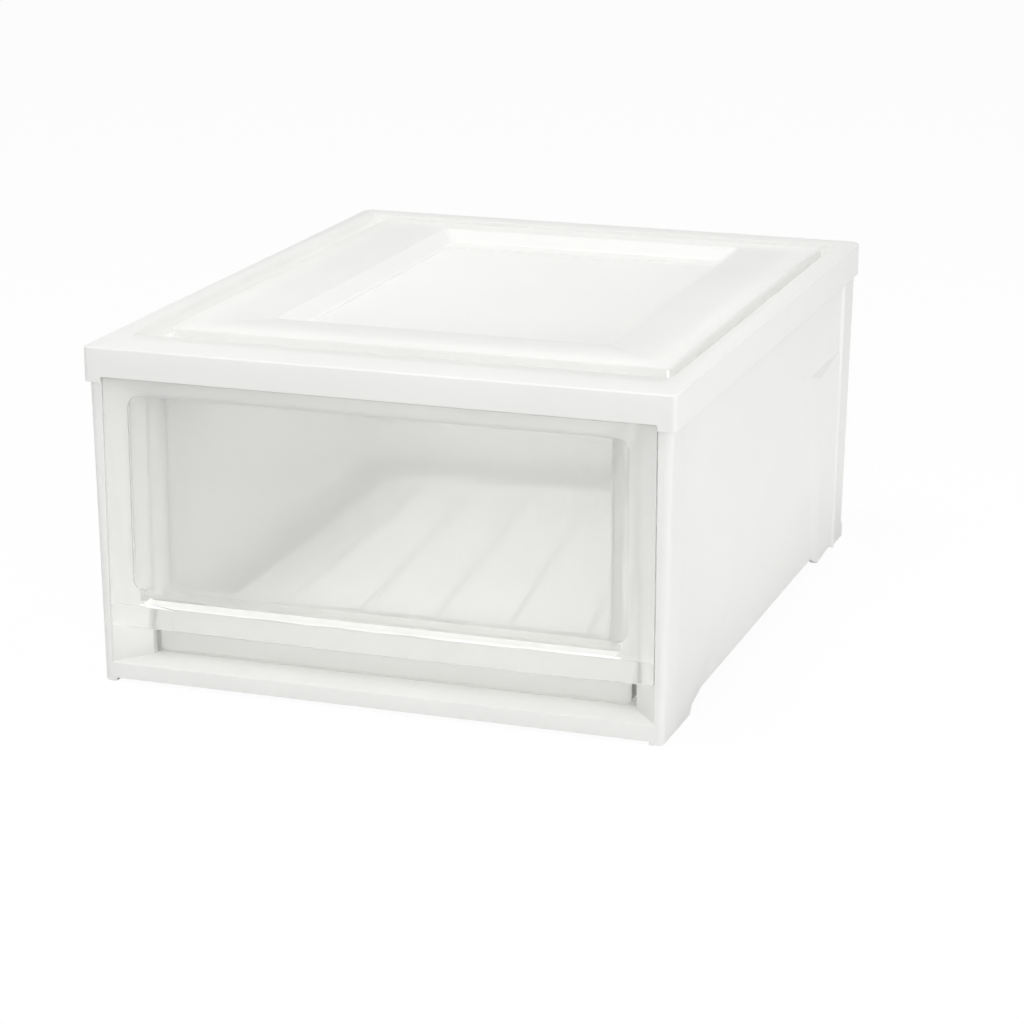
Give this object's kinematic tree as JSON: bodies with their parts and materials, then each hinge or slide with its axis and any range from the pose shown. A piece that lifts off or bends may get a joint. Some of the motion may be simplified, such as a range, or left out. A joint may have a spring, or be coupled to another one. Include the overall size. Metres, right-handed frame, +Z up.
{
  "type": "stackable drawer box",
  "caption": "White moulded storage box with a frosted pull-out drawer, a milky window let into its top, and grooves and rims on top that carry another box.",
  "frame": {"origin": "middle of the footprint, on the ground under the feet", "axes": "+X to the right seen from the front, the drawer front faces -Y, +Z up"},
  "size_m": [0.4, 0.4986, 0.2286],
  "materials": {
    "white_shell": "white moulded polypropylene, satin",
    "milky_panel": "milky moulded polypropylene, satin",
    "frosted_drawer": "natural translucent polypropylene, smooth",
    "frosted_front": "natural translucent polypropylene, finely frosted"
  },
  "bodies": {
    "frame": {"top_frame": "white_shell", "top_panel": "milky_panel", "front_surround": "white_shell", "left_side_panel": "white_shell", "right_side_panel": "white_shell", "back_panel": "white_shell", "base_tray": "white_shell"},
    "drawer": {"drawer_bin": "frosted_drawer", "drawer_front": "frosted_front"}
  },
  "joints": [
    {"name": "drawer_slide", "type": "slide", "parent": "frame", "child": "drawer", "axis": [0, -1, 0], "range_m": [0, 0.38]}
  ]
}
